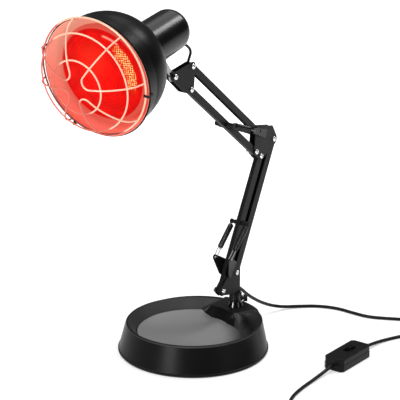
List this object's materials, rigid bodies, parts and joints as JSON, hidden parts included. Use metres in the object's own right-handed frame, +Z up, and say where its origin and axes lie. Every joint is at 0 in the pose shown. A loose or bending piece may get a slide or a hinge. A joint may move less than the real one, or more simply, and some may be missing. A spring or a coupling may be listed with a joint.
{
  "type": "infrared heat therapy lamp",
  "caption": "Black spring-balanced swing-arm desk lamp with a bowl shade, red reflector bulb behind a wire guard, weighted dish base and a cord with an in-line switch.",
  "frame": {"origin": "centre of the round base's resting face", "axes": "+Z up; the arm works in a plane parallel to XZ and the shade looks towards -X; +Y is away from the side that shows the bolt heads"},
  "size_m": [0.516, 0.3472, 0.4879],
  "materials": {
    "base_plastic": "satin black moulded plastic",
    "cast_weight": "rough grey casting",
    "zinc_steel": "zinc plated steel",
    "foot_rubber": "matt black rubber",
    "nylon": "black nylon",
    "knob_plastic": "black knurled plastic on a steel screw",
    "black_steel": "satin black powder coat",
    "nickel_bolts": "bright nickel plate",
    "spring_steel": "blackened spring wire with bright eyes",
    "bright_steel": "bright plated steel strip",
    "shade_black": "satin black paint on spun aluminium",
    "ceramic": "glazed porcelain",
    "red_glass": "ruby red pressed glass with a dimpled face",
    "cap_metal": "bare metal screw cap",
    "contact_glass": "black insulator with a solder contact",
    "guard_wire": "bright plated wire",
    "cord_black": "soft black vinyl",
    "switch_black": "semi-gloss black plastic",
    "blade_brass": "bare brass blades"
  },
  "bodies": {
    "base": {"base_shell": "base_plastic", "base_weight": "cast_weight", "base_plate": "zinc_steel", "base_screws": "zinc_steel", "foot_pad": "foot_rubber", "post_socket": "base_plastic", "swivel_washer": "nylon", "lamp_cord": "cord_black", "switch_base": "switch_black", "switch_cover": "switch_black", "mains_cord": "cord_black", "cord_coil": "cord_black", "plug": "switch_black", "plug_blades": "blade_brass"},
    "turret": {"base_bracket": "black_steel", "swivel_pin": "zinc_steel", "cord_gland": "foot_rubber", "base_bolts": "nickel_bolts", "base_nuts": "nickel_bolts", "lower_spring_near": "spring_steel", "lower_spring_far": "spring_steel"},
    "lower_rear": {"lower_rear_bar": "black_steel"},
    "lower_front": {"lower_front_bar": "black_steel", "lower_stud": "black_steel"},
    "elbow": {"elbow_bracket": "black_steel", "elbow_bolts": "nickel_bolts", "elbow_nuts": "nickel_bolts", "elbow_rivet": "zinc_steel", "upper_spring_near": "spring_steel", "upper_spring_far": "spring_steel"},
    "upper_low": {"upper_low_bar": "black_steel", "upper_stud": "black_steel"},
    "upper_high": {"upper_high_bar": "black_steel"},
    "head_bracket": {"head_bracket": "black_steel", "head_bolts": "nickel_bolts", "head_nuts": "nickel_bolts"},
    "head": {"tilt_tongue": "bright_steel", "tongue_washers": "nylon", "shade": "shade_black", "lamp_housing": "shade_black", "lampholder": "ceramic", "bulb_glass": "red_glass", "bulb_cap": "cap_metal", "bulb_tip": "contact_glass", "guard_rings": "guard_wire", "guard_hairpins": "guard_wire", "guard_clips": "bright_steel", "cable_bush": "foot_rubber", "head_lead": "cord_black"},
    "thumb_screw": {"thumb_screw": "knob_plastic"},
    "switch_slider": {"switch_slider": "switch_black"}
  },
  "joints": [
    {"name": "base_swivel", "type": "hinge", "parent": "base", "child": "turret", "pos_m": [0.0727, -0.0208, 0.062], "axis": [0, 0, 1], "range_deg": [-120, 120]},
    {"name": "lower_arm_lean", "type": "hinge", "parent": "turret", "child": "lower_rear", "pos_m": [0.0678, -0.0208, 0.0912], "axis": [0, 1, 0], "range_deg": [-55, 10]},
    {"name": "lower_front_pivot", "type": "hinge", "parent": "turret", "child": "lower_front", "pos_m": [0.0341, -0.0208, 0.0751], "axis": [0, 1, 0], "range_deg": [-56, 11], "deforming": ["lower_spring_near", "lower_spring_far"]},
    {"name": "elbow_level", "type": "hinge", "parent": "lower_rear", "child": "elbow", "pos_m": [0.16188, -0.0208, 0.25547], "axis": [0, 1, 0], "range_deg": [-11, 56]},
    {"name": "upper_arm_lift", "type": "hinge", "parent": "elbow", "child": "upper_low", "pos_m": [0.11618, -0.0208, 0.24797], "axis": [0, 1, 0], "range_deg": [-50, 30], "deforming": ["upper_spring_near", "upper_spring_far"]},
    {"name": "upper_high_pivot", "type": "hinge", "parent": "elbow", "child": "upper_high", "pos_m": [0.11968, -0.0208, 0.27657], "axis": [0, 1, 0], "range_deg": [-51, 31]},
    {"name": "head_level", "type": "hinge", "parent": "upper_low", "child": "head_bracket", "pos_m": [-0.04154, -0.0208, 0.36467], "axis": [0, 1, 0], "range_deg": [-31, 51]},
    {"name": "head_tilt", "type": "hinge", "parent": "head_bracket", "child": "head", "pos_m": [-0.07694, -0.0208, 0.38737], "axis": [0, 1, 0], "range_deg": [-35, 20], "deforming": ["head_lead"]},
    {"name": "thumb_screw_turn", "type": "hinge", "parent": "base", "child": "thumb_screw", "pos_m": [0.0727, -0.0208, 0.0525], "axis": [0.5446, -0.8387, 0], "continuous": true},
    {"name": "switch_slide", "type": "slide", "parent": "base", "child": "switch_slider", "axis": [0.9969, -0.0785, 0], "range_m": [-0.006, 0]}
  ],
  "couplings": [
    {"joint": "lower_front_pivot", "follows": "lower_arm_lean", "ratio": 1},
    {"joint": "elbow_level", "follows": "lower_arm_lean", "ratio": -1},
    {"joint": "upper_high_pivot", "follows": "upper_arm_lift", "ratio": 1},
    {"joint": "head_level", "follows": "upper_arm_lift", "ratio": -1}
  ]
}
